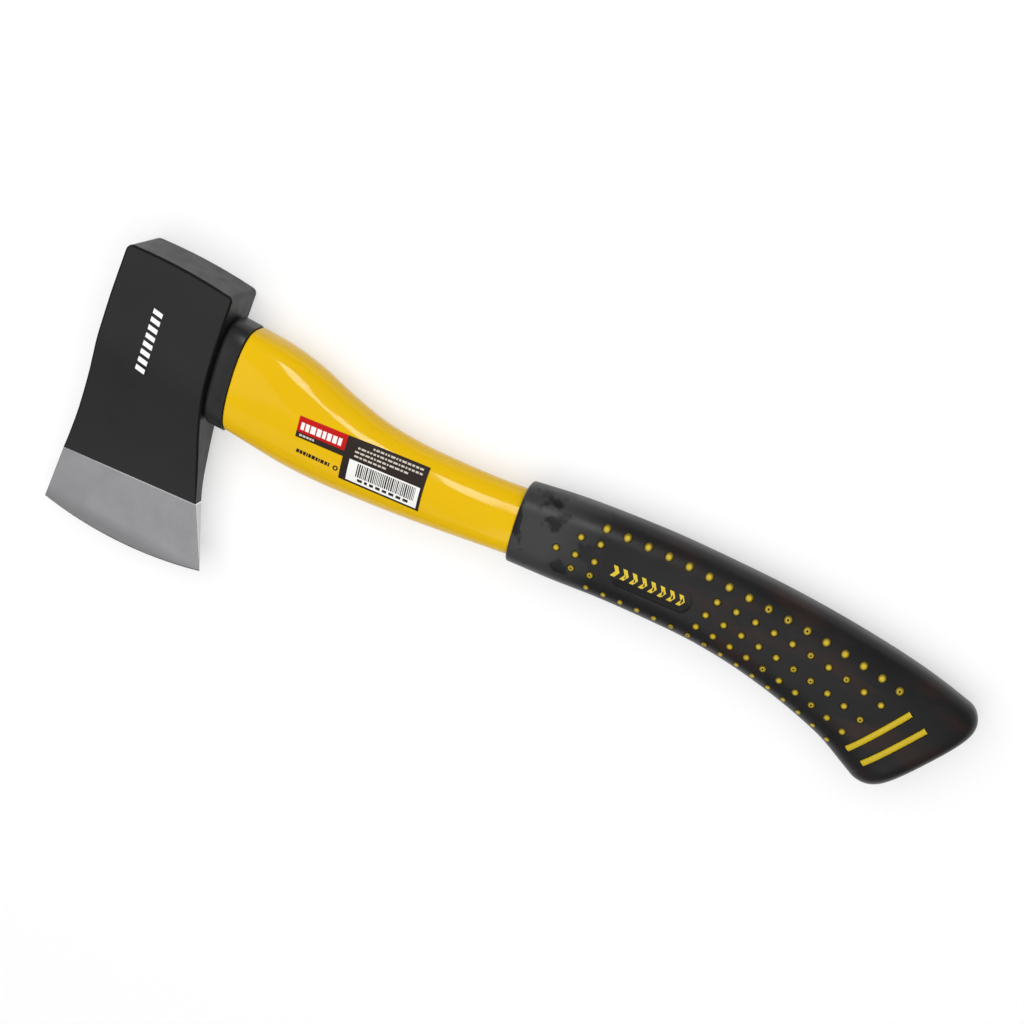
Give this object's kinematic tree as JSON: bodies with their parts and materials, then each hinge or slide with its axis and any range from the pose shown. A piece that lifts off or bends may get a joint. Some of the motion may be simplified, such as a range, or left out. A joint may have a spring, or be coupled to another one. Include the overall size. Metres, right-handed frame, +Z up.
{
  "type": "hatchet",
  "caption": "One-handed hatchet with a lacquered steel head, a yellow moulded handle over a fibreglass core and a black studded soft grip.",
  "frame": {"origin": "on the lower cheek of the head, under the middle of the eye; the hatchet lies on its side", "axes": "+X along the handle from head to butt, +Y from the eye to the poll (the cutting edge faces -Y), +Z up from the cheek it lies on to the other cheek"},
  "size_m": [0.3622, 0.1182, 0.0254],
  "materials": {
    "head_lacquer": "satin black lacquer over forged steel, with a bare ground bevel",
    "amber_resin": "cast epoxy",
    "black_cap": "moulded",
    "black_collar": "satin moulded",
    "glass_fibre": "pressed glass fibre and resin",
    "yellow_jacket": "glossy moulded polypropylene",
    "soft_black": "semi-gloss thermoplastic rubber",
    "printed_label": "printed film"
  },
  "bodies": {
    "root": {"axe_head": "head_lacquer", "eye_resin": "amber_resin", "eye_cap": "black_cap", "neck_collar": "black_collar", "fibreglass_core": "glass_fibre", "handle_jacket": "yellow_jacket", "grip_sleeve": "soft_black", "label": "printed_label"}
  },
  "joints": []
}
